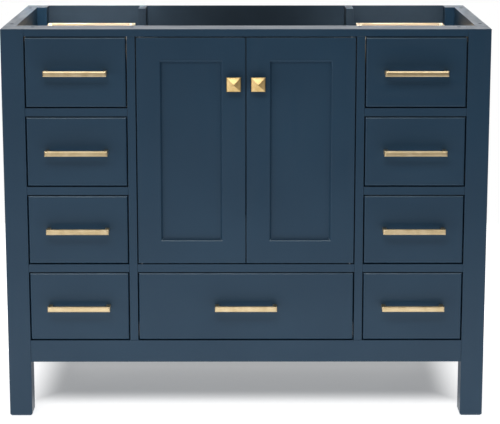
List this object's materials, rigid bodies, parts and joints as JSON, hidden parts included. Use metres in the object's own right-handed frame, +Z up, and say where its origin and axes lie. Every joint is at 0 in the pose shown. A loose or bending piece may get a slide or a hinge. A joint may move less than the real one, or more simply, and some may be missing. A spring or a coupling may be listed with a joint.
{
  "type": "bathroom vanity cabinet",
  "caption": "Freestanding vanity base cabinet on square posts, with side banks of drawers, a wide drawer under framed doors, brass pulls and an open top.",
  "frame": {"origin": "on the floor, under the middle of the whole part, pulls included", "axes": "+Z up, +X to the right as seen from the front, and the doors and drawers face -Y"},
  "size_m": [1.067, 0.576, 0.876],
  "materials": {
    "navy_paint": "satin navy paint on wood",
    "inside_paint": "thin navy paint on board",
    "drawer_wood": "clear-lacquered light wood",
    "brushed_brass": "brushed satin gold",
    "hinge_steel": "zinc-plated"
  },
  "bodies": {
    "root": {"leg_front_left": "navy_paint", "leg_rear_left": "navy_paint", "leg_front_right": "navy_paint", "leg_rear_right": "navy_paint", "top_rail": "navy_paint", "bottom_apron": "navy_paint", "mullion_left": "navy_paint", "mullion_right": "navy_paint", "divider_rail_left_1": "navy_paint", "divider_rail_left_2": "navy_paint", "divider_rail_left_3": "navy_paint", "divider_rail_right_1": "navy_paint", "divider_rail_right_2": "navy_paint", "divider_rail_right_3": "navy_paint", "divider_rail_centre": "navy_paint", "side_panel_left": "navy_paint", "side_panel_right": "navy_paint", "back_panel": "inside_paint", "bottom_panel": "inside_paint", "front_stretcher": "navy_paint", "partition_left": "inside_paint", "partition_right": "inside_paint", "compartment_floor": "inside_paint"},
    "drawer_left_1": {"drawer_front_left_1": "navy_paint", "drawer_box_left_1": "drawer_wood", "pull_left_1": "brushed_brass"},
    "drawer_left_2": {"drawer_front_left_2": "navy_paint", "drawer_box_left_2": "drawer_wood", "pull_left_2": "brushed_brass"},
    "drawer_left_3": {"drawer_front_left_3": "navy_paint", "drawer_box_left_3": "drawer_wood", "pull_left_3": "brushed_brass"},
    "drawer_left_4": {"drawer_front_left_4": "navy_paint", "drawer_box_left_4": "drawer_wood", "pull_left_4": "brushed_brass"},
    "drawer_right_1": {"drawer_front_right_1": "navy_paint", "drawer_box_right_1": "drawer_wood", "pull_right_1": "brushed_brass"},
    "drawer_right_2": {"drawer_front_right_2": "navy_paint", "drawer_box_right_2": "drawer_wood", "pull_right_2": "brushed_brass"},
    "drawer_right_3": {"drawer_front_right_3": "navy_paint", "drawer_box_right_3": "drawer_wood", "pull_right_3": "brushed_brass"},
    "drawer_right_4": {"drawer_front_right_4": "navy_paint", "drawer_box_right_4": "drawer_wood", "pull_right_4": "brushed_brass"},
    "drawer_centre": {"drawer_front_centre": "navy_paint", "drawer_box_centre": "drawer_wood", "pull_centre": "brushed_brass"},
    "door_left": {"door_frame_left": "navy_paint", "door_panel_left": "navy_paint", "pivot_hinge_left_top": "hinge_steel", "pivot_hinge_left_bottom": "hinge_steel", "knob_left": "brushed_brass"},
    "door_right": {"door_frame_right": "navy_paint", "door_panel_right": "navy_paint", "pivot_hinge_right_top": "hinge_steel", "pivot_hinge_right_bottom": "hinge_steel", "knob_right": "brushed_brass"}
  },
  "joints": [
    {"name": "drawer_left_1_slide", "type": "slide", "parent": "root", "child": "drawer_left_1", "axis": [0, -1, 0], "range_m": [0, 0.4]},
    {"name": "drawer_left_2_slide", "type": "slide", "parent": "root", "child": "drawer_left_2", "axis": [0, -1, 0], "range_m": [0, 0.4]},
    {"name": "drawer_left_3_slide", "type": "slide", "parent": "root", "child": "drawer_left_3", "axis": [0, -1, 0], "range_m": [0, 0.4]},
    {"name": "drawer_left_4_slide", "type": "slide", "parent": "root", "child": "drawer_left_4", "axis": [0, -1, 0], "range_m": [0, 0.4]},
    {"name": "drawer_right_1_slide", "type": "slide", "parent": "root", "child": "drawer_right_1", "axis": [0, -1, 0], "range_m": [0, 0.4]},
    {"name": "drawer_right_2_slide", "type": "slide", "parent": "root", "child": "drawer_right_2", "axis": [0, -1, 0], "range_m": [0, 0.4]},
    {"name": "drawer_right_3_slide", "type": "slide", "parent": "root", "child": "drawer_right_3", "axis": [0, -1, 0], "range_m": [0, 0.4]},
    {"name": "drawer_right_4_slide", "type": "slide", "parent": "root", "child": "drawer_right_4", "axis": [0, -1, 0], "range_m": [0, 0.4]},
    {"name": "drawer_centre_slide", "type": "slide", "parent": "root", "child": "drawer_centre", "axis": [0, -1, 0], "range_m": [0, 0.4]},
    {"name": "door_left_hinge", "type": "hinge", "parent": "root", "child": "door_left", "pos_m": [-0.231, -0.2535, 0.60613], "axis": [0, 0, -1], "range_deg": [0, 90]},
    {"name": "door_right_hinge", "type": "hinge", "parent": "root", "child": "door_right", "pos_m": [0.231, -0.2535, 0.60613], "axis": [0, 0, 1], "range_deg": [0, 90]}
  ]
}
